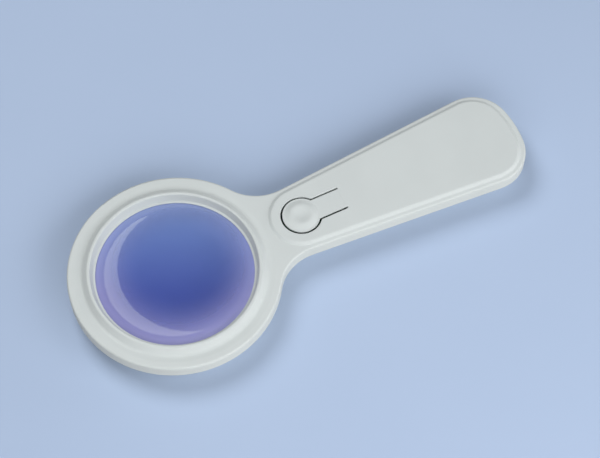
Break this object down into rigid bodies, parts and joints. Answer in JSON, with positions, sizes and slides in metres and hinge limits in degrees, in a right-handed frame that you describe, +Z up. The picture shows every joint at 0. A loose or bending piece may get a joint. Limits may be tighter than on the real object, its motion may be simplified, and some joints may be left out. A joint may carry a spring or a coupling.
{
  "type": "low vision magnifier",
  "caption": "Round lens in a flat plastic frame with a flared paddle handle, a keyhole press button for its lamps and a sliding battery door on the back.",
  "frame": {"origin": "centre of the footprint on the resting plane, under the middle of the press button", "axes": "+X along the handle towards its butt, +Y across the handle, +Z up out of the reading side"},
  "size_m": [0.2022, 0.0878, 0.0156],
  "materials": {
    "casing_plastic": "satin moulded ABS, cool off-white",
    "lens_acrylic": "clear polished acrylic with a faint blue-violet coating",
    "button_plastic": "satin moulded ABS, cool off-white",
    "door_plastic": "satin moulded ABS, cool off-white",
    "switch_black": "black nylon",
    "switch_steel": "stamped steel cover",
    "plunger_plastic": "red nylon",
    "spring_steel": "drawn spring wire",
    "board_laminate": "green solder resist on glass-fibre board",
    "tinned_copper": "bright tin",
    "resistor_body": "tan lacquer",
    "led_epoxy": "water-clear epoxy",
    "holder_plastic": "white nylon",
    "cell_can": "printed sleeve over a steel can, no marks",
    "contact_steel": "nickel-plated spring steel",
    "wire_red": "PVC insulation",
    "wire_black": "PVC insulation",
    "screw_steel": "zinc-plated steel"
  },
  "bodies": {
    "casing": {"front_shell": "casing_plastic", "back_shell": "casing_plastic", "lens": "lens_acrylic", "switch_housing": "switch_black", "switch_cover": "switch_steel", "switch_spring": "spring_steel", "switch_pins": "tinned_copper", "circuit_board": "board_laminate", "board_screws": "screw_steel", "resistor": "resistor_body", "resistor_leads": "tinned_copper", "led_left": "led_epoxy", "led_right": "led_epoxy", "led_leads": "tinned_copper", "led_holder": "holder_plastic", "cell_left": "cell_can", "cell_right": "cell_can", "positive_contact": "contact_steel", "negative_contact": "contact_steel", "negative_spring": "spring_steel", "bridge_contact": "contact_steel", "bridge_spring": "spring_steel", "wire_positive": "wire_red", "wire_negative": "wire_black", "shell_screws": "screw_steel"},
    "button": {"press_button": "button_plastic"},
    "plunger": {"switch_plunger": "plunger_plastic"},
    "door": {"battery_door": "door_plastic"}
  },
  "joints": [
    {"name": "button_press", "type": "hinge", "parent": "casing", "child": "button", "pos_m": [0.0187, 0, 0.0143], "axis": [0, -1, 0], "range_deg": [0, 3.3]},
    {"name": "plunger_press", "type": "slide", "parent": "casing", "child": "plunger", "axis": [0, 0, -1], "range_m": [0, 0.0011], "deforming": ["switch_spring"]},
    {"name": "door_slide", "type": "slide", "parent": "casing", "child": "door", "axis": [1, 0, 0], "range_m": [0, 0.06]}
  ],
  "couplings": [
    {"joint": "plunger_press", "follows": "button_press", "m_per_rad": 0.0187}
  ]
}
